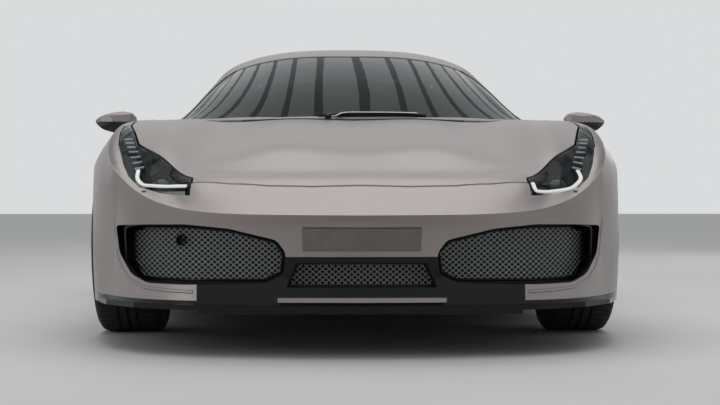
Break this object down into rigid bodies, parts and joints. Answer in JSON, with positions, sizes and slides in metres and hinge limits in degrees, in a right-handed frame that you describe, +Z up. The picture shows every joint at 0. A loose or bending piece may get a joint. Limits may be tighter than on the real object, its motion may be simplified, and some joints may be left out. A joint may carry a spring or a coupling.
{
  "type": "supercar",
  "caption": "Mid-engined two-seat supercar with a low nose, side intakes, opening doors and lids, steered front wheels and a hollow cabin.",
  "frame": {"origin": "on the ground, at the middle of the car's bounding box", "axes": "-Y points forward out of the nose, +X to the car's left, +Z up"},
  "size_m": [2.1498, 4.605, 1.204],
  "materials": {
    "body_paint": "satin",
    "gloss_black": "gloss",
    "matte_black": "matte",
    "tinted_glass": "gloss",
    "clear_lens": "gloss",
    "red_lens": "gloss",
    "mirror_glass": "gloss",
    "tub_aluminium": "satin",
    "cast_aluminium": "matte",
    "forged_aluminium": "satin",
    "polished_steel": "gloss",
    "seat_fabric": "matte",
    "wheel_leather": "satin",
    "tyre_rubber": "matte",
    "rim_alloy": "satin"
  },
  "bodies": {
    "body": {"monocoque": "tub_aluminium", "front_frame": "tub_aluminium", "rear_frame": "tub_aluminium", "front_bumper": "body_paint", "front_splitter": "gloss_black", "splitter_blade": "body_paint", "intake_grilles": "matte_black", "scuttle": "matte_black", "wing_left": "body_paint", "wing_right": "body_paint", "headlamp_bowls": "matte_black", "headlamp_lenses": "clear_lens", "windscreen": "tinted_glass", "roof_frame": "body_paint", "sill_skirts": "gloss_black", "quarter_left": "body_paint", "quarter_right": "body_paint", "roof_rear_bridge": "body_paint", "rear_deck_strip": "body_paint", "rear_bumper": "body_paint", "rear_diffuser": "gloss_black", "rear_spoiler": "body_paint", "rear_grille": "matte_black", "tail_lamps": "red_lens", "side_ducts": "gloss_black", "side_blades": "body_paint", "exhaust": "polished_steel", "exhaust_tip_left": "polished_steel", "exhaust_tip_right": "polished_steel", "engine_block": "cast_aluminium", "seats": "seat_fabric", "dashboard": "matte_black", "front_suspension": "forged_aluminium", "rear_suspension": "forged_aluminium"},
    "bonnet": {"bonnet": "body_paint"},
    "engine_cover": {"engine_cover": "body_paint", "engine_glass": "tinted_glass"},
    "door_left": {"door_left": "body_paint", "door_glass_left": "tinted_glass", "mirror_left": "body_paint", "mirror_glass_left": "mirror_glass"},
    "door_right": {"door_right": "body_paint", "door_glass_right": "tinted_glass", "mirror_right": "body_paint", "mirror_glass_right": "mirror_glass"},
    "steering_wheel": {"steering_wheel": "wheel_leather"},
    "knuckle_left": {"knuckle_left": "forged_aluminium"},
    "knuckle_right": {"knuckle_right": "forged_aluminium"},
    "wheel_front_left": {"tyre_front_left": "tyre_rubber", "rim_front_left": "rim_alloy"},
    "wheel_front_right": {"tyre_front_right": "tyre_rubber", "rim_front_right": "rim_alloy"},
    "wheel_rear_left": {"tyre_rear_left": "tyre_rubber", "rim_rear_left": "rim_alloy"},
    "wheel_rear_right": {"tyre_rear_right": "tyre_rubber", "rim_rear_right": "rim_alloy"}
  },
  "joints": [
    {"name": "steer_left", "type": "hinge", "parent": "body", "child": "knuckle_left", "pos_m": [0.789, -1.1375, 0.34], "axis": [0, 0, 1], "range_deg": [-30, 30]},
    {"name": "steer_right", "type": "hinge", "parent": "body", "child": "knuckle_right", "pos_m": [-0.789, -1.1375, 0.34], "axis": [0, 0, 1], "range_deg": [-30, 30]},
    {"name": "steering_column", "type": "hinge", "parent": "body", "child": "steering_wheel", "pos_m": [0.36, -0.3, 0.716], "axis": [0, 0.9272, 0.3746], "range_deg": [-390, 390]},
    {"name": "spin_front_left", "type": "hinge", "parent": "knuckle_left", "child": "wheel_front_left", "pos_m": [0.8395, -1.1375, 0.34], "axis": [1, 0, 0], "continuous": true},
    {"name": "spin_front_right", "type": "hinge", "parent": "knuckle_right", "child": "wheel_front_right", "pos_m": [-0.8395, -1.1375, 0.34], "axis": [1, 0, 0], "continuous": true},
    {"name": "spin_rear_left", "type": "hinge", "parent": "body", "child": "wheel_rear_left", "pos_m": [0.8245, 1.5125, 0.346], "axis": [1, 0, 0], "continuous": true},
    {"name": "spin_rear_right", "type": "hinge", "parent": "body", "child": "wheel_rear_right", "pos_m": [-0.8245, 1.5125, 0.346], "axis": [1, 0, 0], "continuous": true},
    {"name": "door_left_hinge", "type": "hinge", "parent": "body", "child": "door_left", "pos_m": [0.941, -0.616, 0.45], "axis": [0, 0, -1], "range_deg": [0, 60]},
    {"name": "door_right_hinge", "type": "hinge", "parent": "body", "child": "door_right", "pos_m": [-0.941, -0.616, 0.45], "axis": [0, 0, 1], "range_deg": [0, 60]},
    {"name": "bonnet_hinge", "type": "hinge", "parent": "body", "child": "bonnet", "pos_m": [0, -0.8, 0.775], "axis": [-1, 0, 0], "range_deg": [0, 42]},
    {"name": "engine_cover_hinge", "type": "hinge", "parent": "body", "child": "engine_cover", "pos_m": [0, 0.684, 1.145], "axis": [1, 0, 0], "range_deg": [0, 45]}
  ],
  "couplings": [
    {"joint": "steer_right", "follows": "steer_left", "ratio": 1},
    {"joint": "steering_column", "follows": "steer_left", "ratio": 13}
  ]
}
